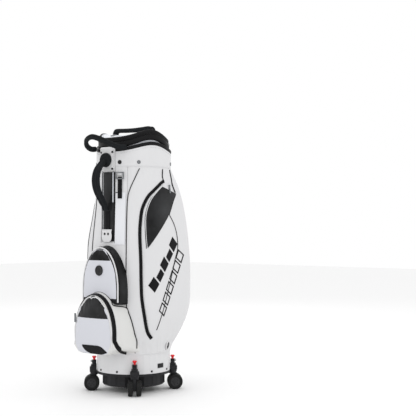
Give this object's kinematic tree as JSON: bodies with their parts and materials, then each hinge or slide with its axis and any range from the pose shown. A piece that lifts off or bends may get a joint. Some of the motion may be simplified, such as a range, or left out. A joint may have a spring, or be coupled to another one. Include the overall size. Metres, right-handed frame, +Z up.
{
  "type": "golf staff bag",
  "caption": "Upright golf bag on twin swivel casters with zipped pockets, a carry handle, a grab loop and a telescoping rigid travel hood.",
  "frame": {"origin": "middle of the bag's footprint on the floor, hood lowered", "axes": "+Z up along the bag's tube, -Y towards the ball pocket, +X towards the right apparel pocket"},
  "size_m": [0.304, 0.3852, 0.9002],
  "materials": {
    "white_leather": "satin coated",
    "white_shell": "satin",
    "grey_panel": "satin coated",
    "black_leather": "patent gloss",
    "black_plastic": "fine moulded grain",
    "black_webbing": "woven",
    "foam": "brushed pile over foam",
    "dark_metal": "satin",
    "tyre": "smooth",
    "red_plastic": "gloss"
  },
  "bodies": {
    "bag": {"caster_housing_1": "black_plastic", "caster_housing_2": "black_plastic", "caster_housing_3": "black_plastic", "caster_housing_4": "black_plastic", "base_cuff": "white_leather", "front_panel": "white_leather", "side_pocket_right": "white_leather", "side_pocket_left": "white_leather", "back_pocket": "white_leather", "ball_pocket": "white_leather", "front_pocket": "white_leather", "handle_lower_tab": "white_leather", "handle_plate": "white_leather", "collar_shell": "white_leather", "back_panel": "grey_panel", "glove_patch": "grey_panel", "handle_channel": "black_leather", "collar_trim": "black_leather", "base_tray": "black_plastic", "stiffener_tube": "black_plastic", "magnet_button": "black_plastic", "hood_guide_ring": "black_plastic", "handle_strap": "black_webbing", "carry_handle": "black_webbing", "grab_loop": "black_webbing", "divider_head": "black_webbing", "floor_pad": "foam", "divider_walls": "foam"},
    "hood": {"hood_tube": "white_shell", "hood_stop_ring": "black_plastic", "hood_trim": "black_leather"},
    "lid": {"lid_skirt": "black_leather", "lid_dome": "white_shell", "lid_handle": "black_webbing"},
    "umbrella_loop": {"umbrella_ring": "dark_metal", "umbrella_strap": "black_webbing"},
    "swivel_1": {"caster_swivel_1": "black_plastic"},
    "wheel_1a": {"caster_wheel_1a": "tyre"},
    "wheel_1b": {"caster_wheel_1b": "tyre"},
    "button_1": {"caster_button_1": "red_plastic"},
    "swivel_2": {"caster_swivel_2": "black_plastic"},
    "wheel_2a": {"caster_wheel_2a": "tyre"},
    "wheel_2b": {"caster_wheel_2b": "tyre"},
    "button_2": {"caster_button_2": "red_plastic"},
    "swivel_3": {"caster_swivel_3": "black_plastic"},
    "wheel_3a": {"caster_wheel_3a": "tyre"},
    "wheel_3b": {"caster_wheel_3b": "tyre"},
    "button_3": {"caster_button_3": "red_plastic"},
    "swivel_4": {"caster_swivel_4": "black_plastic"},
    "wheel_4a": {"caster_wheel_4a": "tyre"},
    "wheel_4b": {"caster_wheel_4b": "tyre"},
    "button_4": {"caster_button_4": "red_plastic"},
    "side_zip_pull_right_body": {"side_zip_pull_right": "dark_metal"},
    "side_zip_pull_left_body": {"side_zip_pull_left": "dark_metal"},
    "back_zip_pull_right_body": {"back_zip_pull_right": "dark_metal"},
    "back_zip_pull_left_body": {"back_zip_pull_left": "dark_metal"},
    "ball_zip_pull_body": {"ball_zip_pull": "dark_metal"}
  },
  "joints": [
    {"name": "hood_slide", "type": "slide", "parent": "bag", "child": "hood", "axis": [0, 0, 1], "range_m": [0, 0.34]},
    {"name": "lid_hinge", "type": "hinge", "parent": "hood", "child": "lid", "pos_m": [0, 0.1376, 0.842], "axis": [-1, 0, 0], "range_deg": [0, 110]},
    {"name": "umbrella_swing", "type": "hinge", "parent": "bag", "child": "umbrella_loop", "pos_m": [0.05255, -0.10721, 0.74], "axis": [-0.9205, -0.3907, 0], "range_deg": [0, 75]},
    {"name": "caster_1_swivel", "type": "hinge", "parent": "bag", "child": "swivel_1", "pos_m": [0.095, -0.0784, 0.07], "axis": [0, 0, 1], "continuous": true},
    {"name": "button_1_push", "type": "slide", "parent": "bag", "child": "button_1", "axis": [0, 0, -1], "range_m": [0, 0.004], "stiffness_N_per_m": 300, "springref_m": -0.002},
    {"name": "wheel_1a_spin", "type": "hinge", "parent": "swivel_1", "child": "wheel_1a", "pos_m": [0.10066, -0.08406, 0.026], "axis": [0.7071, 0.7071, 0], "continuous": true},
    {"name": "wheel_1b_spin", "type": "hinge", "parent": "swivel_1", "child": "wheel_1b", "pos_m": [0.10066, -0.08406, 0.026], "axis": [0.7071, 0.7071, 0], "continuous": true},
    {"name": "caster_2_swivel", "type": "hinge", "parent": "bag", "child": "swivel_2", "pos_m": [0.095, 0.1116, 0.07], "axis": [0, 0, 1], "continuous": true},
    {"name": "button_2_push", "type": "slide", "parent": "bag", "child": "button_2", "axis": [0, 0, -1], "range_m": [0, 0.004], "stiffness_N_per_m": 300, "springref_m": -0.002},
    {"name": "wheel_2a_spin", "type": "hinge", "parent": "swivel_2", "child": "wheel_2a", "pos_m": [0.10066, 0.11726, 0.026], "axis": [-0.7071, 0.7071, 0], "continuous": true},
    {"name": "wheel_2b_spin", "type": "hinge", "parent": "swivel_2", "child": "wheel_2b", "pos_m": [0.10066, 0.11726, 0.026], "axis": [-0.7071, 0.7071, 0], "continuous": true},
    {"name": "caster_3_swivel", "type": "hinge", "parent": "bag", "child": "swivel_3", "pos_m": [-0.095, 0.1116, 0.07], "axis": [0, 0, 1], "continuous": true},
    {"name": "button_3_push", "type": "slide", "parent": "bag", "child": "button_3", "axis": [0, 0, -1], "range_m": [0, 0.004], "stiffness_N_per_m": 300, "springref_m": -0.002},
    {"name": "wheel_3a_spin", "type": "hinge", "parent": "swivel_3", "child": "wheel_3a", "pos_m": [-0.10066, 0.11726, 0.026], "axis": [-0.7071, -0.7071, 0], "continuous": true},
    {"name": "wheel_3b_spin", "type": "hinge", "parent": "swivel_3", "child": "wheel_3b", "pos_m": [-0.10066, 0.11726, 0.026], "axis": [-0.7071, -0.7071, 0], "continuous": true},
    {"name": "caster_4_swivel", "type": "hinge", "parent": "bag", "child": "swivel_4", "pos_m": [-0.095, -0.0784, 0.07], "axis": [0, 0, 1], "continuous": true},
    {"name": "button_4_push", "type": "slide", "parent": "bag", "child": "button_4", "axis": [0, 0, -1], "range_m": [0, 0.004], "stiffness_N_per_m": 300, "springref_m": -0.002},
    {"name": "wheel_4a_spin", "type": "hinge", "parent": "swivel_4", "child": "wheel_4a", "pos_m": [-0.10066, -0.08406, 0.026], "axis": [0.7071, -0.7071, 0], "continuous": true},
    {"name": "wheel_4b_spin", "type": "hinge", "parent": "swivel_4", "child": "wheel_4b", "pos_m": [-0.10066, -0.08406, 0.026], "axis": [0.7071, -0.7071, 0], "continuous": true},
    {"name": "side_zip_pull_right_swing", "type": "hinge", "parent": "bag", "child": "side_zip_pull_right_body", "pos_m": [0.12992, 0.04899, 0.7], "axis": [0.2419, -0.9703, 0], "range_deg": [0, 50]},
    {"name": "side_zip_pull_left_swing", "type": "hinge", "parent": "bag", "child": "side_zip_pull_left_body", "pos_m": [-0.12992, 0.04899, 0.7], "axis": [0.2419, 0.9703, 0], "range_deg": [0, 50]},
    {"name": "back_zip_pull_right_swing", "type": "hinge", "parent": "bag", "child": "back_zip_pull_right_body", "pos_m": [0.01469, 0.18446, 0.588], "axis": [0.9962, -0.0872, 0], "range_deg": [0, 70]},
    {"name": "back_zip_pull_left_swing", "type": "hinge", "parent": "bag", "child": "back_zip_pull_left_body", "pos_m": [-0.01469, 0.18446, 0.588], "axis": [0.9962, 0.0872, 0], "range_deg": [0, 70]},
    {"name": "ball_zip_pull_swing", "type": "hinge", "parent": "bag", "child": "ball_zip_pull_body", "pos_m": [-0.08, -0.1814, 0.27], "axis": [-1, 0, 0], "range_deg": [0, 70]}
  ]
}
